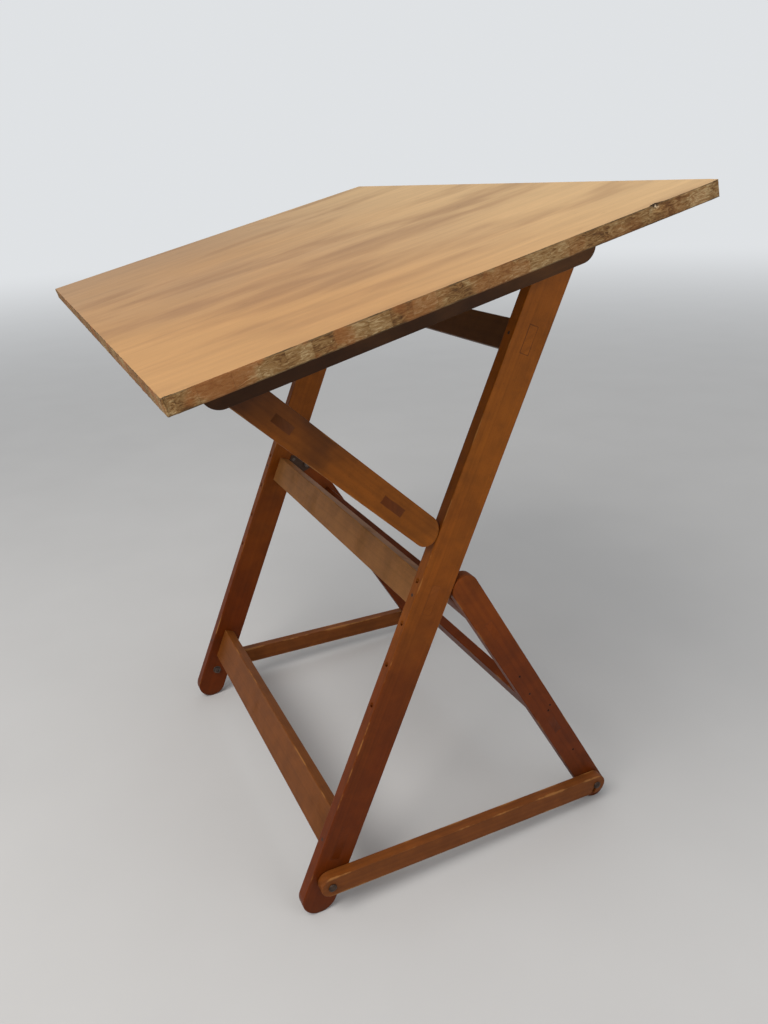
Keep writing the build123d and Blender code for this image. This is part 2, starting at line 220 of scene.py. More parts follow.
ring_y = sum_up(grain, "ADD", bent[1], 0.03)
ring_z = sum_up(grain, "ADD", bent[2], 0.05)
radius = sum_up(grain, "SQRT", sum_up(grain, "ADD", sum_up(grain, "MULTIPLY", ring_y, ring_y),
                                      sum_up(grain, "MULTIPLY", ring_z, ring_z)))
turns = sum_up(grain, "DIVIDE", radius, takes["Ring Pitch"])
rings = put(grain, "TexNoise", {"W": turns, "Scale": 1.0, "Detail": 1.0}, noise_dimensions="1D")
grain.links.new(rings.outputs["Fac"], gives["Rings"])
fibre = put(grain, "VectorMath", {0: moved, 1: (0.025, 1, 1)}, operation="MULTIPLY").outputs[0]
grain.links.new(noise_of(grain, fibre, 700.0, 3.0, 0.6), gives["Fibre"])
fleck = put(grain, "VectorMath", {0: moved, 1: (0.16, 1, 1)}, operation="MULTIPLY").outputs[0]
grain.links.new(span(grain, noise_of(grain, fleck, 1100.0, 1.0), 0.62, 0.72), gives["Flecks"])

# Worn arris: how near a place is to the two long edges of a bar's faces, broken up by noise
arris_wear, takes, gives = effect(
    "worn arris",
    {"Place": (0, 0, 0), "Half Width": 0.03, "Half Thickness": 0.012, "Reach": 0.004, "Seed": 0.0},
    {"Mask": "Float"})
parts = put(arris_wear, "SeparateXYZ", {0: takes["Place"]}).outputs
gap_y = sum_up(arris_wear, "SUBTRACT", takes["Half Width"],
               sum_up(arris_wear, "ABSOLUTE", parts[1]))
gap_z = sum_up(arris_wear, "SUBTRACT", takes["Half Thickness"],
               sum_up(arris_wear, "ABSOLUTE", parts[2]))
gap = sum_up(arris_wear, "ADD", sum_up(arris_wear, "MAXIMUM", gap_y, 0.0),
             sum_up(arris_wear, "MAXIMUM", gap_z, 0.0))
seed = put(arris_wear, "CombineXYZ", {0: takes["Seed"]}).outputs[0]
moved = put(arris_wear, "VectorMath", {0: takes["Place"], 1: seed}, operation="ADD").outputs[0]
rub = span(arris_wear, noise_of(arris_wear, moved, 14.0, 5.0, 0.6), 0.34, 0.66)
reach = sum_up(arris_wear, "MULTIPLY", takes["Reach"], rub)
bare = sum_up(arris_wear, "DIVIDE", sum_up(arris_wear, "SUBTRACT", reach, gap), takes["Reach"])
arris_wear.links.new(span(arris_wear, bare, 0.0, 0.5), gives["Mask"])

# Grime: old dirt in blotches, and more of it close to the floor
grime, takes, gives = effect(
    "grime", {"Place": (0, 0, 0), "Blotch Size": 0.12, "Floor Height": 0.06, "Seed": 0.0},
    {"Blotches": "Float", "Foot": "Float"})
seed = put(grime, "CombineXYZ", {1: takes["Seed"]}).outputs[0]
moved = put(grime, "VectorMath", {0: takes["Place"], 1: seed}, operation="ADD").outputs[0]
fine = sum_up(grime, "DIVIDE", 1.0, takes["Blotch Size"])
blotch = noise_of(grime, moved, fine, 5.0, 0.62, 0.3)
grime.links.new(span(grime, blotch, 0.5, 0.72), gives["Blotches"])
height = put(grime, "SeparateXYZ", {0: takes["Place"]}).outputs[2]
ragged = sum_up(grime, "MULTIPLY_ADD", blotch, takes["Floor Height"], height)
grime.links.new(span(grime, ragged, takes["Floor Height"], 0.0), gives["Foot"])

# Joint line: the dark crack round the end of a tenon that shows in a bar's face
joint_line, takes, gives = effect(
    "joint line", {"Place": (0, 0, 0), "Along": 0.0, "Half Height": 0.02, "Half Thickness": 0.008},
    {"Crack": "Float", "Tenon": "Float"})
parts = put(joint_line, "SeparateXYZ", {0: takes["Place"]}).outputs
off_y = sum_up(joint_line, "ABSOLUTE", sum_up(joint_line, "SUBTRACT", parts[0], takes["Along"]))
off = sum_up(joint_line, "MAXIMUM", sum_up(joint_line, "SUBTRACT", off_y, takes["Half Height"]),
             sum_up(joint_line, "SUBTRACT", sum_up(joint_line, "ABSOLUTE", parts[1]),
                    takes["Half Thickness"]))
uneven = noise_of(joint_line, takes["Place"], 60.0, 2.0)
width = span(joint_line, uneven, 0.3, 0.6, 0.0006, 0.0018)
crack = sum_up(joint_line, "SUBTRACT", 1.0,
               sum_up(joint_line, "DIVIDE", sum_up(joint_line, "ABSOLUTE", off), width))
joint_line.links.new(sum_up(joint_line, "MAXIMUM", crack, 0.0), gives["Crack"])
joint_line.links.new(sum_up(joint_line, "LESS_THAN", off, 0.0), gives["Tenon"])

# golden is laid on high up and russet low down; russet is darkened as painted shade towards the
# floor.
golden = (0.26, 0.073, 0.005, 1)
russet_floor_shade = (0.11, 0.019, 0.001, 1)
dark_line = (0.03, 0.011, 0.004, 1)
bare_wood = (0.42, 0.19, 0.055, 1)
dirt = (0.035, 0.020, 0.010, 1)
varnish_shine = 0.13
tenon_end_depth = 0.002


def start_finish(name):
    finish = bpy.data.materials.new(name)
    finish.use_nodes = True
    tree = finish.node_tree
    return finish, tree, tree.nodes["Principled BSDF"].inputs


def bar_place(tree, bar, across_table=False, along=0.0):
    """Where a point is on a bar: along it, across it, and out from the middle of its thickness.
    For a rail between two bars it is along the rail, up it and through it."""
    here = put(tree, "TexCoord").outputs["Object"]
    turned = put(tree, "Mapping", {"Vector": here, "Location": bar.start,
                                   "Rotation": (0, -bar.angle, 0)}, vector_type="TEXTURE")
    parts = put(tree, "SeparateXYZ", {0: turned.outputs[0]}).outputs
    if across_table:
        rise = sum_up(tree, "SUBTRACT", parts[0], along)
        return here, put(tree, "CombineXYZ", {0: parts[1], 1: rise, 2: parts[2]}).outputs[0], None
    middle = (bar.inner + bar.outer) / 2
    out = sum_up(tree, "SUBTRACT", sum_up(tree, "ABSOLUTE", parts[1]), middle)
    whole = put(tree, "CombineXYZ", {0: parts[0], 1: parts[2], 2: parts[1]}).outputs[0]
    section = put(tree, "CombineXYZ", {0: parts[0], 1: parts[2], 2: out}).outputs[0]
    return here, whole, section


def varnished(name, bar, seed, light=golden, dark=russet_floor_shade, tenons=(), rail=None, foot=0.0,
              wear=0.0025, gloss=0.4, shade_heights=(0.2, 0.95), ends=(golden, russet_floor_shade)):
    """Old varnished beech, with painted shade by height: the colour passed as dark is laid on low
    down and the one passed as light high up. tenons are (along, half height, half thickness, how
    plain to see) of those that show in a bar's faces; rail is (along, half height, half thickness)
    for a rail, whose tenon ends have two colours of their own."""
    finish, tree, surface = start_finish(name)
    here, whole, section = bar_place(tree, bar, rail is not None, rail[0] if rail else 0.0)
    wood = use(tree, grain, {"Place": whole, "Seed": seed, "Ring Pitch": 0.005})
    height = put(tree, "SeparateXYZ", {0: here}).outputs[2]
    # Painted shade: the colour runs from the dark one low down to the light one high up, between the
    # heights given.
    drift = noise_of(tree, here, 7.0, 3.0)
    raised = sum_up(tree, "MULTIPLY_ADD", drift, 0.4, height)
    height_shade = span(tree, raised, shade_heights[0] + 0.2, shade_heights[1] + 0.2)
    colour = tint(tree, height_shade, dark, light)
    if rail:
        out = sum_up(tree, "ABSOLUTE", put(tree, "SeparateXYZ", {0: here}).outputs[1])
        tenon_end = sum_up(tree, "GREATER_THAN", out, bar.outer - tenon_end_depth)
        colour = tint(tree, tenon_end, colour, tint(tree, height_shade, ends[1], ends[0]))
    streak = sum_up(tree, "ADD", sum_up(tree, "MULTIPLY", wood["Rings"], 0.6),
                    sum_up(tree, "MULTIPLY", wood["Fibre"], 0.4))
    mottle = noise_of(tree, here, 26.0, 4.0, 0.55, 0.4)
    shade = sum_up(tree, "MULTIPLY", span(tree, streak, 0.3, 0.7, 0.9, 1.08),
                   span(tree, mottle, 0.3, 0.7, 0.88, 1.12))
    shade = put(tree, "CombineColor", {0: shade, 1: shade, 2: shade}).outputs[0]
    colour = tint(tree, 1.0, colour, shade, "MULTIPLY")
    colour = tint(tree, sum_up(tree, "MULTIPLY", wood["Flecks"], 0.25), colour, dark_line)
    half_width, half_thickness = bar.width / 2, (bar.outer - bar.inner) / 2
    if rail:
        half_width, half_thickness, section = rail[1], rail[2], whole
    worn = use(tree, arris_wear, {"Place": section, "Half Width": half_width, "Reach": wear,
                                  "Half Thickness": half_thickness, "Seed": seed})["Mask"]
    colour = tint(tree, sum_up(tree, "MULTIPLY", worn, 0.45), colour, bare_wood)
    dirty = use(tree, grime, {"Place": here, "Seed": seed, "Floor Height": max(foot, 0.001)})
    colour = tint(tree, sum_up(tree, "MULTIPLY", dirty["Blotches"], 0.2), colour, dirt)
    if foot:
        colour = tint(tree, sum_up(tree, "MULTIPLY", dirty["Foot"], 0.6), colour, dirt)
    relief = sum_up(tree, "MULTIPLY", wood["Fibre"], 0.5)
    for along, half_height, half_tenon, plain in tenons:
        line = use(tree, joint_line, {"Place": section, "Along": along, "Half Height": half_height,
                                      "Half Thickness": half_tenon})
        colour = tint(tree, sum_up(tree, "MULTIPLY", line["Crack"], plain), colour, dark_line)
        relief = sum_up(tree, "SUBTRACT", relief, line["Crack"])
    tree.links.new(colour, surface["Base Color"])
    rough = sum_up(tree, "MULTIPLY_ADD", wood["Fibre"], 0.12, gloss)
    rough = sum_up(tree, "MULTIPLY_ADD", sum_up(tree, "MAXIMUM", worn, dirty["Blotches"]), 0.2, rough)
    tree.links.new(rough, surface["Roughness"])
    bump = put(tree, "Bump", {"Height": relief, "Strength": 0.25, "Distance": 0.0004})
    tree.links.new(bump.outputs[0], surface["Normal"])
    surface["Specular IOR Level"].default_value = varnish_shine
    return finish


def rail_place(bar, node):
    """How far along its bars a rail is, and half its height and thickness, shoulders and all."""
    low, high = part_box(node)
    along, _ = bar.place((low + high) / 2)
    run, rise = high.x - low.x, high.z - low.z
    c, s = abs(bar.along.x), abs(bar.along.z)
    height = (c * run - s * rise) / (c * c - s * s)
    thickness = (c * rise - s * run) / (c * c - s * s)
    return along, height / 2, thickness / 2


shoulder = 0.003
tenon_share = 2 / 3


def tenon_ends(bar, rails, plain):
    places = [rail_place(bar, rail) for rail in rails]
    return [(along, half_height - shoulder, half_thickness * tenon_share, seen)
            for (along, half_height, half_thickness), seen in zip(places, plain)]


long_rails = ["long_top_rail", "long_mid_rail", "long_low_rail"]
long_bar = Bar("long_leg_right", long_leg_width)
# The legs are painted darker towards the floor as shade.
for side, seed in (("right", 1.0), ("left", 2.7)):
    leg = eased("long_leg_" + side, long_bar.has_arris, "frame_wood")
    leg.data.materials.append(varnished(
        "varnished leg " + side, long_bar, seed, foot=0.05,
        tenons=tenon_ends(long_bar, long_rails, (0.9, 0.3, 0.3))))

# ---- Long rails ----------------------------------------------------------------------------
# Three flat rails tenoned through the long legs and nailed. The top one is painted darkest, as
# shade under the board; the other two are the colour of the legs.


shortest_long_edge = 0.3


def long_edge(edge):
    ends = edge.verts[0].co, edge.verts[1].co
    return abs(ends[0].y - ends[1].y) > shortest_long_edge


# umber and peat are painted shade under the board on the top rail; umber also darkens the high tenon
# ends of the strut rails.
umber_board_shade = (0.105, 0.045, 0.016, 1)
peat_board_shade = (0.05, 0.020, 0.008, 1)
hazel = (0.25, 0.105, 0.030, 1)
copper = (0.15, 0.045, 0.008, 1)
rail_tones = {"long_top_rail": (umber_board_shade, peat_board_shade), "long_mid_rail": (hazel, hazel),
              "long_low_rail": (copper, copper)}
for rail, seed in zip(long_rails, (3.1, 4.3, 5.9)):
    piece = eased(rail, long_edge, "frame_wood")
    piece.data.materials.append(varnished(
        "varnished " + rail, long_bar, seed, *rail_tones[rail], rail=rail_place(long_bar, rail)))

# ---- Nails, hinge plates and their screws --------------------------------------------------
# Steel that has gone dull and brown. Nails lock the tenons, set flush in the front of the legs.
# A plate on the inner face of each long leg carries the hinge of the short frame.


def old_steel(name, tone, rust, polish):
    finish, tree, surface = start_finish(name)
    here = put(tree, "TexCoord").outputs["Object"]
    spots = span(tree, noise_of(tree, here, 180.0, 5.0, 0.65), 0.42, 0.66)
    smear = noise_of(tree, here, 700.0, 3.0, 0.6)
    colour = tint(tree, sum_up(tree, "MULTIPLY", spots, 0.8), tone, rust)
    tree.links.new(colour, surface["Base Color"])
    tree.links.new(span(tree, spots, 0.0, 1.0, 0.9, 0.25), surface["Metallic"])
    rough = sum_up(tree, "MULTIPLY_ADD", smear, 0.2, polish)
    tree.links.new(sum_up(tree, "MULTIPLY_ADD", spots, 0.25, rough), surface["Roughness"])
    bump = put(tree, "Bump", {"Height": smear, "Strength": 0.3, "Distance": 0.0002})
    tree.links.new(bump.outputs[0], surface["Normal"])
    return finish


rust_brown = (0.06, 0.026, 0.012, 1)
nail_steel = old_steel("dark nail heads", (0.05, 0.04, 0.035, 1), rust_brown, 0.45)
plate_steel = old_steel("browned steel plate", (0.075, 0.045, 0.03, 1), rust_brown, 0.5)
fixing_steel = old_steel("dull steel fixings", (0.13, 0.105, 0.09, 1), rust_brown, 0.36)


def finish_nodes(finish, *names):
    for name in names:
        materials = nodes[name].data.materials
        materials.clear()
        materials.append(finish)


finish_nodes(nail_steel, "long_frame_nails", "short_frame_nails", "strut_frame_nails")
finish_nodes(fixing_steel, "hinge_plate_screws", "strut_tip_pins", "batten_screws")
steel_arris = 0.0005


def steel_eased(finish, slot, *names):
    for name in names:
        eased(name, lambda edge: True, slot, steel_arris).data.materials.append(finish)


steel_eased(plate_steel, "plate_steel", "hinge_plate_left", "hinge_plate_right")
steel_eased(fixing_steel, "fixing_steel", "hinge_screws", "hinge_washers", "stretcher_nuts",
            "stretcher_washers", "board_pivot_nuts", "board_pivot_washers", "strut_pivot_nuts",
            "strut_pivot_washers")

# ---- Short frame ---------------------------------------------------------------------------
# Two shorter round-ended legs, hinged behind the long ones and redder than they are. Two rails
# are tenoned through them.
short_leg_width = 0.052
madder = (0.20, 0.045, 0.003, 1)
short_rails = ["short_top_rail", "short_low_rail"]
short_bar = Bar("short_leg_right", short_leg_width, falls=True)
# The short legs are painted darker towards the floor as shade.
for side, seed in (("right", 7.2), ("left", 8.8)):
    leg = eased("short_leg_" + side, short_bar.has_arris, "frame_wood")
    leg.data.materials.append(varnished(
        "varnished short leg " + side, short_bar, seed, light=madder, foot=0.05,
        tenons=tenon_ends(short_bar, short_rails, (0.3, 0.3))))
for rail, seed in zip(short_rails, (9.3, 10.1)):
    piece = eased(rail, long_edge, "frame_wood")
    piece.data.materials.append(varnished(
        "varnished " + rail, short_bar, seed, light=madder, rail=rail_place(short_bar, rail),
        ends=(madder, russet_floor_shade)))

# Old nail and tack heads left in the outer face of the right-hand short leg: how far each is
# below the hinge and behind the middle of the leg
tack_radius = 0.0026
tack_rise = 0.0004
tack_turns = 12
left_in = ((0.251, -0.006), (0.305, -0.008), (0.368, 0.014), (0.377, 0.005), (0.518, 0.004))


def turned(shape, centre, side, outline, turns=40):
    """Adds a thing turned about a line across the table. The outline is its distances out from
    the middle of the table, each with a radius."""
    rings = []
    for out, radius in outline:
        spokes = turns if radius else 1
        angles = [2 * pi * spoke / spokes for spoke in range(spokes)]
        rings.append([shape.verts.new((centre.x + radius * cos(angle), side * out,
                                       centre.z + radius * sin(angle))) for angle in angles])
    for near, far in zip(rings, rings[1:]):
        for spoke in range(turns):
            following = (spoke + 1) % turns
            corners = [near[spoke % len(near)], near[following % len(near)],
                       far[following % len(far)], far[spoke % len(far)]]
            shape.faces.new(list(dict.fromkeys(corners)))


def turned_mesh(name, things):
    shape = bmesh.new()
    for thing in things:
        turned(shape, *thing)
    bmesh.ops.recalc_face_normals(shape, faces=shape.faces)
    mesh = bpy.data.meshes.new(name)
    shape.to_mesh(mesh)
    shape.free()
    return mesh


tack = ((short_bar.outer - tack_rise, 0), (short_bar.outer - tack_rise, tack_radius),
        (short_bar.outer + tack_rise / 2, tack_radius * 0.8), (short_bar.outer + tack_rise, 0))
tacks = bpy.data.objects.new("tack_heads", turned_mesh("tack_heads", [
    (short_bar.at(along, across), -1, tack, tack_turns) for along, across in left_in]))
bpy.context.scene.collection.objects.link(tacks)
tacks.data.materials.append(old_steel("black tacks", (0.006, 0.004, 0.003, 1), dark_line, 0.6))
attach(tacks, "short_frame")

# ---- Stretchers ----------------------------------------------------------------------------
# A round-ended bar on each side that turns on a bolt in the long foot and hooks over a stud in
# the short foot, through a slanting notch.
stretcher_width = 0.042
fawn = (0.15, 0.042, 0.007, 1)
for side, seed in (("right", 11.4), ("left", 12.6)):
    bar = Bar("stretcher_" + side, stretcher_width, falls=True)
    piece = eased("stretcher_" + side, bar.has_arris, "stretcher_wood")
    piece.data.materials.append(varnished(
        "varnished stretcher " + side, bar, seed, light=fawn, dark=fawn, wear=0.006))

# Round-headed bolts and studs that the stretchers turn on and hook over
shank_radius = 0.004
head_radius = 0.008
head_thickness = 0.004
head_rim = 0.001
shank_chamfer = 0.001
dome_steps = 6


def domed(node):
    """The outline of a bolt or stud with a domed head at its outer end."""
    low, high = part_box(node)
    outer = high.y
    inner = min(abs(corner.co.y) for corner in nodes[node].data.vertices)
    seat = outer - head_thickness
    outline = [(inner, 0), (inner, shank_radius - shank_chamfer),
               (inner + shank_chamfer, shank_radius), (seat, shank_radius), (seat, head_radius)]
    for step in range(dome_steps):
        turn = pi / 2 * step / dome_steps
        rise = head_rim + (head_thickness - head_rim) * sin(turn)
        outline.append((seat + rise, head_radius * cos(turn)))
    return outline + [(outer, 0)]


stud_low, stud_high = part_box("stretcher_studs")
dark_steel = old_steel("dark bolt heads", (0.05, 0.035, 0.028, 1), rust_brown, 0.36)
for node, centre in (("stretcher_bolts", pivots["stretcher_right_lift"]),
                     ("stretcher_studs", (stud_low + stud_high) / 2)):
    mesh = turned_mesh("worked_" + node, [(centre, side, domed(node)) for side in (-1, 1)])
    stands_for(mesh, "fixing_steel", node).data.materials.append(dark_steel)

# ---- Strut frame ---------------------------------------------------------------------------
# Two struts under the low edge of the board, with two rails and a steel pin in each tip that
# drops into a hole in the front of the long leg. Their top ends are painted dark as the board's
# shadow.
strut_width = 0.052
chestnut = (0.22, 0.062, 0.005, 1)
# auburn is painted shadow of the board, laid on the top ends of the struts and their rails.
auburn_board_shadow = (0.065, 0.020, 0.005, 1)
plum = (0.13, 0.032, 0.005, 1)
strut_rails = ["strut_high_rail", "strut_low_rail"]
tip_length = 0.07            # of the part of a strut that is shaped to meet the leg
strut_bar = Bar("strut_right", strut_width, falls=True)
pin_low, pin_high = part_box("strut_tip_pins")
strut_bar.start = pivots["strut_swing"]
pins_from_pivot = (pin_low + pin_high) / 2 - strut_bar.start
pins_from_pivot.y = 0
strut_bar.along = pins_from_pivot.normalized()
strut_bar.up = Vector((-strut_bar.along.z, 0, strut_bar.along.x))
strut_bar.angle = atan2(strut_bar.along.z, strut_bar.along.x)
strut_bar.shaped_from = pins_from_pivot.length - tip_length
# Painted shadow: the struts and their rails darken towards their top ends, under the board.
for side, seed in (("right", 13.5), ("left", 14.9)):
    strut = eased("strut_" + side, strut_bar.has_arris, "frame_wood")
    strut.data.materials.append(varnished(
        "varnished strut " + side, strut_bar, seed, light=auburn_board_shadow, dark=chestnut, shade_heights=(0.84, 1.0),
        tenons=tenon_ends(strut_bar, strut_rails, (0.5, 0.6))))
for rail, seed in zip(strut_rails, (15.2, 16.8)):
    piece = eased(rail, long_edge, "frame_wood")
    piece.data.materials.append(varnished(
        "varnished " + rail, strut_bar, seed, auburn_board_shadow, chestnut, shade_heights=(0.84, 1.0),
        rail=rail_place(strut_bar, rail), ends=(umber_board_shade, plum)))

# ---- Battens -------------------------------------------------------------------------------
# Dark stained hardwood bars, screwed up into the board outside the legs, painted darker still as
# shade under the board. Their lower corners are rounded, and they are darker towards the low end.
batten_depth = 0.068
batten_arris = 0.0012
bolt_room = 0.012               # no arris is taken off this near a bolt
# Both batten tones are the dark stain together with painted shade under the board.
bistre_stain_and_shade = (0.040, 0.014, 0.003, 1)
bistre_high_stain_and_shade = (0.10, 0.040, 0.010, 1)


class Slope(Bar):
    """The board's own line, from the struts' pivots up to the board's pivots."""

    def __init__(self):
        self.start = pivots["board_lift"].copy()
        self.along = (self.start - pivots["strut_swing"]).normalized()
        self.up = Vector((-self.along.z, 0, self.along.x))
        self.angle = atan2(self.along.z, self.along.x)
        self.length = 0.0
        self.width = batten_depth
        low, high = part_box("batten_right")
        self.inner, self.outer = -high.y, -low.y


slope = Slope()


def batten_edge(edge):
    near, far = (abs(corner.co.y) for corner in edge.verts)
    off_face = min(abs(near - slope.inner), abs(near - slope.outer))
    if abs(near - far) > on_face or off_face > on_face:
        return False
    middle = (edge.verts[0].co + edge.verts[1].co) / 2
    holes = [pivots["board_lift"], pivots["strut_swing"]]
    return all(Vector((middle.x - hole.x, middle.z - hole.z)).length > bolt_room for hole in holes)


for side, seed in (("right", 17.7), ("left", 18.9)):
    batten = eased("batten_" + side, batten_edge, "batten_wood", batten_arris)
    batten.data.materials.append(varnished(
        "stained and shade-painted batten " + side, slope, seed, light=bistre_high_stain_and_shade, dark=bistre_stain_and_shade,
        shade_heights=(1.02, 1.2)))

# ---- Pivot bolts ---------------------------------------------------------------------------
# Two bolts in each batten, one for the long leg and one for the strut. Their flat heads are let
# in flush, in dark steel like the batten, and have a hole for a pin spanner.
flush_radius = 0.0075
flush_depth = 0.004
spanner_radius = 0.0028
spanner_depth = 0.0025
spanner_taper = 0.0004
for node, joint in (("board_pivot_bolts", "board_lift"), ("strut_pivot_bolts", "strut_swing")):
    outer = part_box(node)[1].y
    inner = min(abs(corner.co.y) for corner in nodes[node].data.vertices)
    outline = [(inner, 0), (inner, shank_radius - shank_chamfer),
               (inner + shank_chamfer, shank_radius),
               (outer - flush_depth, shank_radius), (outer, flush_radius),
               (outer, spanner_radius), (outer - spanner_depth, spanner_radius - spanner_taper),
               (outer - spanner_depth, 0)]
    mesh = turned_mesh("worked_" + node, [(pivots[joint], side, outline) for side in (-1, 1)])
    stands_for(mesh, "fixing_steel", node).data.materials.append(dark_steel)

# ---- Board ---------------------------------------------------------------------------------
# Blockboard: strips of softwood glued side by side between two thin face veneers. Its edges
# have had no lipping, so the strips' ends show, rubbed dark and knocked about.


class Layer:
    """A layer of the board: its middle, its length up the slope, its thickness and its width."""

    def __init__(self, node):
        low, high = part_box(node)
        run, rise = high.x - low.x, high.z - low.z
        c, s = slope.along.x, slope.along.z
        self.length = (c * run - s * rise) / (c * c - s * s)
        self.thickness = (c * rise - s * run) / (c * c - s * s)
        self.width = high.y - low.y
        middle = (low + high) / 2
        self.middle, self.level = slope.place(middle)


layers = {node: Layer(node) for node in ("board_bottom_veneer", "board_core", "board_top_veneer")}
board_top = layers["board_top_veneer"].level + layers["board_top_veneer"].thickness / 2
board_bottom = layers["board_bottom_veneer"].level - layers["board_bottom_veneer"].thickness / 2
edge_step = 0.0025
corner_radius = 0.004
corner_steps = 4
rim_wear = 0.0009
rim_reach = 0.003               # how far from a face its rim is rubbed round
rub_depth = 0.0009
rub_grain = 90
splinter_grain = 400
full_knock = 0.008              # a knock this deep is splintered right through

# Knocks in the edges: side, distance along it from its low or right-hand end, length, depth, and
# how far down from the face it goes
knocks = (
    ("right", 0.692, 0.027, 0.008, 0.010),
    ("right", 0.655, 0.012, 0.0015, 0.003),
    ("right", 0.002, 0.020, 0.004, 0.040),
    ("right", 0.300, 0.020, 0.0012, 0.004),
    ("right", 0.480, 0.008, 0.0012, 0.004),
    ("right", 0.806, 0.040, 0.0035, 0.060),
    ("high", 0.002, 0.030, 0.0035, 0.060),
    ("high", 0.410, 0.012, 0.002, 0.004),
    ("high", 0.930, 0.016, 0.002, 0.005),
    ("low", 0.120, 0.010, 0.0015, 0.004),
    ("low", 0.780, 0.014, 0.002, 0.004),
    ("left", 0.240, 0.015, 0.0025, 0.006),
    ("left", 0.560, 0.010, 0.002, 0.005),
)


def round_the_edge(length, width):
    """Points round a rectangle with its corners just rounded: (along, across, outward, side,
    distance along that side)."""
    half_length, half_width = length / 2 - corner_radius, width / 2 - corner_radius
    sides = (("right", (-half_length, -width / 2), (1, 0), (0, -1), 2 * half_length),
             ("high", (length / 2, -half_width), (0, 1), (1, 0), 2 * half_width),
             ("left", (half_length, width / 2), (-1, 0), (0, 1), 2 * half_length),
             ("low", (-length / 2, half_width), (0, -1), (-1, 0), 2 * half_width))
    for name, start, way, out, run in sides:
        count = round(run / edge_step)
        for step in range(count + 1):
            gone = run * step / count
            measured = gone if name in ("right", "high") else run - gone
            yield (start[0] + way[0] * gone, start[1] + way[1] * gone, out, name, measured)
        turn = atan2(out[1], out[0])
        centre = (start[0] + way[0] * run - out[0] * corner_radius,
                  start[1] + way[1] * run - out[1] * corner_radius)
        for step in range(1, corner_steps):
            angle = turn + pi / 2 * step / corner_steps
            way_out = (cos(angle), sin(angle))
            yield (centre[0] + corner_radius * way_out[0], centre[1] + corner_radius * way_out[1],
                   way_out, name, measured)


def knocked_in(place, side, gone, depth):
    deepest = 0.0
    for name, middle, length, deep, down in knocks:
        if name == side:
            near = 1 - abs(gone - middle) / (length / 2) + 0.35 * noise.noise(place * splinter_grain)
            near = min(max(near, 0), 1) * min(max(1 - depth / down, 0), 1)
            deepest = max(deepest, deep * sqrt(near))
    return deepest


def worn_in(place, depth):
    """How far an edge is rubbed in at a place, depth being the distance down from the top face."""
    rough = 0.5 + 0.5 * noise.fractal(place * rub_grain, 1.0, 2.0, 3)
    from_rim = min(depth, board_top - board_bottom - depth)
    return rim_wear * (1 - min(from_rim / rim_reach, 1)) ** 2 + rub_depth * max(rough, 0)


def layer_mesh(node, name, levels):
    layer = layers[node]
    shape = bmesh.new()
    broken = shape.verts.layers.float.new("knock")
    rings = []
    for step in range(levels + 1):
        level = layer.level - layer.thickness / 2 + layer.thickness * step / levels
        ring = []
        for along, across, out, side, gone in round_the_edge(layer.length, layer.width):
            depth = board_top - level
            spot = Vector((along, across, depth))
            knock = knocked_in(spot, side, gone, depth)
            inward = max(worn_in(spot, depth), knock)
            place = slope.at(layer.middle + along - out[0] * inward, level)
            place.y = across - out[1] * inward
            corner = shape.verts.new(place)
            corner[broken] = min(knock / full_knock, 1)
            ring.append(corner)
        rings.append(ring)
    count = len(rings[0])
    for lower, upper in zip(rings, rings[1:]):
        for here in range(count):
            there = (here + 1) % count
            shape.faces.new((lower[here], lower[there], upper[there], upper[here]))
    for face in shape.faces:
        face.material_index = 1
    for ring in (list(reversed(rings[0])), rings[-1]):
        shape.faces.new(ring).material_index = 0
    mesh = bpy.data.meshes.new(name)
    shape.to_mesh(mesh)
    shape.free()
    return mesh


# honey and biscuit are the veneer's patchy tones, and biscuit is also laid on the far side as painted
# reflection; the pale tone is painted reflection up the slope.
honey = (0.44, 0.235, 0.090, 1)
biscuit = (0.37, 0.215, 0.105, 1)
reflected_pale = (0.56, 0.36, 0.17, 1)
tea_stain = (0.20, 0.10, 0.052, 1)


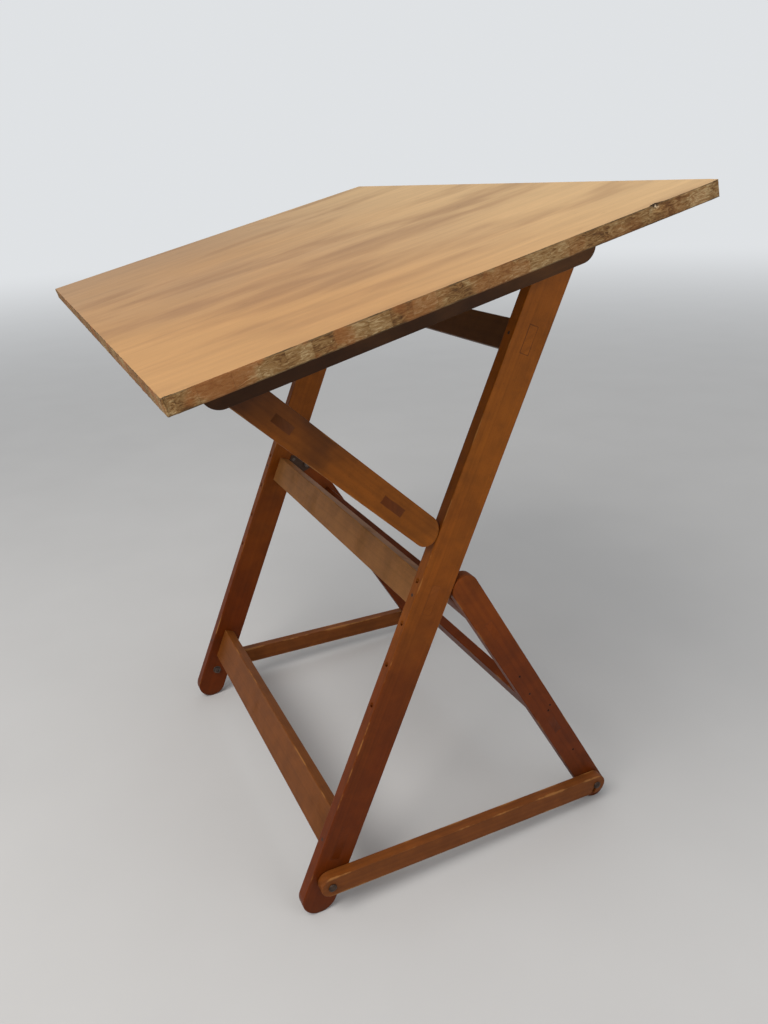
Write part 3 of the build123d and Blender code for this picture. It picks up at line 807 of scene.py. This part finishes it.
def face_veneer(name, seed, smudges, polish):
    finish, tree, surface = start_finish(name)
    here, whole, _ = bar_place(tree, slope)
    wood = use(tree, grain, {"Place": whole, "Seed": seed, "Ring Pitch": 0.009, "Wander": 0.05})
    side_to_side = put(tree, "SeparateXYZ", {0: here}).outputs[1]
    # Patchy tone, with the far side painted greyer as a painted reflection of the room.
    patchy_and_reflected = sum_up(tree, "MULTIPLY_ADD", noise_of(tree, whole, 2.4, 3.0), 1.6, side_to_side)
    colour = tint(tree, span(tree, patchy_and_reflected, 0.3, 1.3), honey, biscuit)
    # Painted reflection: the board is painted paler up the slope towards its high end.
    up_slope = put(tree, "SeparateXYZ", {0: whole}).outputs[0]
    colour = tint(tree, span(tree, up_slope, -0.45, 0.2), colour, reflected_pale)
    drawn = put(tree, "VectorMath", {0: whole, 1: (0.15, 1, 1)}, operation="MULTIPLY").outputs[0]
    band = noise_of(tree, drawn, 30.0, 6.0, 0.68, 0.6)
    streak = sum_up(tree, "ADD", sum_up(tree, "MULTIPLY", band, 0.6),
                    sum_up(tree, "ADD", sum_up(tree, "MULTIPLY", wood["Rings"], 0.15),
                           sum_up(tree, "MULTIPLY", wood["Fibre"], 0.25)))
    shade = span(tree, streak, 0.34, 0.66, 0.88, 1.08)
    shade = put(tree, "CombineColor", {0: shade, 1: shade, 2: shade}).outputs[0]
    colour = tint(tree, 1.0, colour, shade, "MULTIPLY")
    colour = tint(tree, sum_up(tree, "MULTIPLY", wood["Flecks"], 0.1), colour, tea_stain)
    spread = put(tree, "VectorMath", {0: whole, 1: (0.34, 1, 1)}, operation="MULTIPLY").outputs[0]
    stain = span(tree, noise_of(tree, spread, 10.0, 3.0, 0.5, 0.25), 0.46, 0.74)
    colour = tint(tree, sum_up(tree, "MULTIPLY", stain, smudges), colour, tea_stain)
    score = put(tree, "VectorMath", {0: whole, 1: (0.14, 1, 1)}, operation="MULTIPLY").outputs[0]
    scores = span(tree, noise_of(tree, score, 150.0, 1.0), 0.79, 0.82)
    colour = tint(tree, sum_up(tree, "MULTIPLY", scores, 0.5), colour, dirt)
    tree.links.new(colour, surface["Base Color"])
    rough = sum_up(tree, "MULTIPLY_ADD", wood["Fibre"], 0.1, polish)
    tree.links.new(sum_up(tree, "MULTIPLY_ADD", stain, 0.1, rough), surface["Roughness"])
    relief = sum_up(tree, "SUBTRACT", wood["Fibre"], scores)
    bump = put(tree, "Bump", {"Height": relief, "Strength": 0.12, "Distance": 0.0003})
    tree.links.new(bump.outputs[0], surface["Normal"])
    surface["Specular IOR Level"].default_value = 0.2
    return finish


fox_red = (0.27, 0.09, 0.022, 1)
splinter = (0.60, 0.46, 0.30, 1)


def rubbed_edge(name, tones, swirl_size, strips):
    """A bare edge of the board, rubbed dark. The strips of the core end here, each with its own
    tone, and deep knocks in it show splintered wood."""
    finish, tree, surface = start_finish(name)
    here, whole, _ = bar_place(tree, slope)
    parts = put(tree, "SeparateXYZ", {0: whole}).outputs
    strip = put(tree, "TexVoronoi", {"W": parts[0], "Scale": strips, "Randomness": 0.9},
                voronoi_dimensions="1D")
    glue = put(tree, "TexVoronoi", {"W": parts[0], "Scale": strips, "Randomness": 0.9},
               voronoi_dimensions="1D", feature="DISTANCE_TO_EDGE")
    pick = put(tree, "SeparateColor", {0: strip.outputs["Color"]}).outputs
    slant = sum_up(tree, "MULTIPLY_ADD", pick[1], 0.05, sum_up(tree, "MULTIPLY", parts[1], 1.8))
    drawn = sum_up(tree, "MULTIPLY", parts[0], 0.45)
    skew = put(tree, "CombineXYZ", {0: drawn, 1: slant, 2: parts[2]}).outputs[0]
    swirl = noise_of(tree, skew, swirl_size, 5.0, 0.62, 2.2)
    patches = noise_of(tree, whole, 17.0, 5.0, 0.62, 0.8)
    mixed = sum_up(tree, "ADD", sum_up(tree, "MULTIPLY", pick[0], 0.08),
                   sum_up(tree, "ADD", sum_up(tree, "MULTIPLY", swirl, 0.7),
                          sum_up(tree, "MULTIPLY", patches, 0.5)))
    ramp = put(tree, "ValToRGB", {0: span(tree, mixed, 0.40, 0.86)})
    stops = ramp.color_ramp.elements
    stops[0].color, stops[1].color = tones[0], tones[-1]
    for order, tone in enumerate(tones[1:-1], 1):
        stops.new(order / (len(tones) - 1)).color = tone
    warm = span(tree, noise_of(tree, whole, 26.0, 2.0), 0.45, 0.6)
    warm = sum_up(tree, "MULTIPLY", warm, span(tree, parts[0], 0.1, -0.6, 0.15, 0.6))
    colour = tint(tree, warm, ramp.outputs[0], fox_red)
    seam = span(tree, glue.outputs["Distance"], 0.02, 0.0)
    colour = tint(tree, sum_up(tree, "MULTIPLY", seam, 0.2), colour, dirt)
    broken = put(tree, "Attribute", attribute_name="knock").outputs["Fac"]
    splinters = tint(tree, span(tree, noise_of(tree, whole, 160.0, 2.0), 0.5, 0.6), dirt, splinter)
    colour = tint(tree, span(tree, broken, 0.35, 0.85), colour, splinters)
    tree.links.new(colour, surface["Base Color"])
    surface["Roughness"].default_value = 0.75
    surface["Specular IOR Level"].default_value = 0.2
    fuzz = noise_of(tree, whole, 900.0, 3.0, 0.6)
    relief = sum_up(tree, "ADD", swirl, sum_up(tree, "MULTIPLY", fuzz, 0.5))
    bump = put(tree, "Bump", {"Height": relief, "Strength": 0.7, "Distance": 0.001})
    tree.links.new(bump.outputs[0], surface["Normal"])
    return finish


edge_tones = ((0.05, 0.022, 0.007, 1), (0.13, 0.058, 0.017, 1), (0.22, 0.115, 0.038, 1),
              (0.28, 0.17, 0.07, 1), (0.46, 0.32, 0.16, 1))
rim_tones = ((0.05, 0.028, 0.012, 1), (0.12, 0.07, 0.03, 1), (0.26, 0.16, 0.07, 1))
strip_edge = rubbed_edge("ends of the core strips", edge_tones, 105.0, 30.0)
rim = rubbed_edge("rubbed rim of the veneer", rim_tones, 45.0, 8.0)
for node, name, levels, slot, finishes in (
        ("board_top_veneer", "face_veneer_top", 1, "board_veneer",
         (face_veneer("golden face veneer", 21.3, 0.5, 0.42), rim)),
        ("board_bottom_veneer", "face_veneer_bottom", 1, "board_veneer",
         (face_veneer("plain back veneer", 24.8, 0.6, 0.6), rim)),
        ("board_core", "strip_core", 8, "board_core", (strip_edge, strip_edge))):
    layer = stands_for(layer_mesh(node, name, levels), slot, node)
    for finish in finishes:
        layer.data.materials.append(finish)

# ---- Floor and light -----------------------------------------------------------------------
# A pale floor that fades into a pale room, a large soft light high on the left, and a weaker
# one in front.
floor_reach = 40.0
fade_from, fade_to = 1.5, 14.0
backdrop = (0.74, 0.76, 0.78, 1)
floor_mesh = bpy.data.meshes.new("floor")
floor_mesh.from_pydata([(-floor_reach, -floor_reach, 0), (floor_reach, -floor_reach, 0),
                        (floor_reach, floor_reach, 0), (-floor_reach, floor_reach, 0)],
                       [], [(0, 1, 2, 3)])
floor = bpy.data.objects.new("floor", floor_mesh)
bpy.context.scene.collection.objects.link(floor)
finish, tree, surface = start_finish("pale floor")
here = put(tree, "TexCoord").outputs["Object"]
speckle = noise_of(tree, here, 3.0, 3.0)
floor_tone = tint(tree, speckle, (0.50, 0.49, 0.48, 1), (0.54, 0.53, 0.52, 1))
tree.links.new(floor_tone, surface["Base Color"])
surface["Roughness"].default_value = 0.9
surface["Specular IOR Level"].default_value = 0.1
away = put(tree, "VectorMath", {0: here}, operation="LENGTH").outputs["Value"]
haze = put(tree, "Emission", {"Color": backdrop})
far = put(tree, "MixShader", {0: span(tree, away, fade_from, fade_to),
                              1: tree.nodes["Principled BSDF"].outputs[0], 2: haze.outputs[0]})
tree.links.new(far.outputs[0], tree.nodes["Material Output"].inputs[0])
floor_mesh.materials.append(finish)

world = bpy.data.worlds.new("soft room")
bpy.context.scene.world = world
world.use_nodes = True
room = world.node_tree
rise = put(room, "SeparateXYZ", {0: put(room, "TexCoord").outputs["Generated"]}).outputs[2]
glow = span(room, rise, 0.1, 0.9, 0.38, 1.0)
seen = put(room, "LightPath").outputs["Is Camera Ray"]
ceiling = room.nodes["Background"].inputs
ceiling["Color"].default_value = backdrop
room.links.new(put(room, "Mix", {0: seen, 2: glow, 3: 1.0}).outputs[0], ceiling["Strength"])


def soft_light(name, place, aim, size, power, colour):
    lamp = bpy.data.lights.new(name, "AREA")
    lamp.shape, lamp.size, lamp.energy, lamp.color = "DISK", size, power, colour
    light = bpy.data.objects.new(name, lamp)
    light.location = place
    light.rotation_euler = (Vector(aim) - Vector(place)).to_track_quat("-Z", "Y").to_euler()
    bpy.context.scene.collection.objects.link(light)


soft_light("window", (-2.4, -1.2, 3.6), (0, 0, 0.8), 2.6, 125, (1.0, 0.98, 0.95))
soft_light("room", (1.4, -3.2, 1.8), (0, 0, 0.6), 2.4, 22, (0.97, 0.98, 1.0))
bpy.context.scene.view_settings.view_transform = "Standard"

# ---- Camera --------------------------------------------------------------------------------
# Standing height, to the right of the low edge, looking down at the frame.
eye = Vector((-0.5691, -1.4586, 1.2672))
heading, dip, lean = radians(25.004), radians(22.737), radians(-2.493)
lens = 28.0979297
forward = Vector((sin(heading) * cos(dip), cos(heading) * cos(dip), -sin(dip)))
camera = bpy.data.objects.new("camera", bpy.data.cameras.new("camera"))
camera.data.sensor_width = 36.0
camera.data.lens = lens
camera.location = eye
level = forward.to_track_quat("-Z", "Y")
camera.rotation_mode = "QUATERNION"
camera.rotation_quaternion = level @ Euler((0, 0, lean)).to_quaternion()
bpy.context.scene.collection.objects.link(camera)
bpy.context.scene.camera = camera
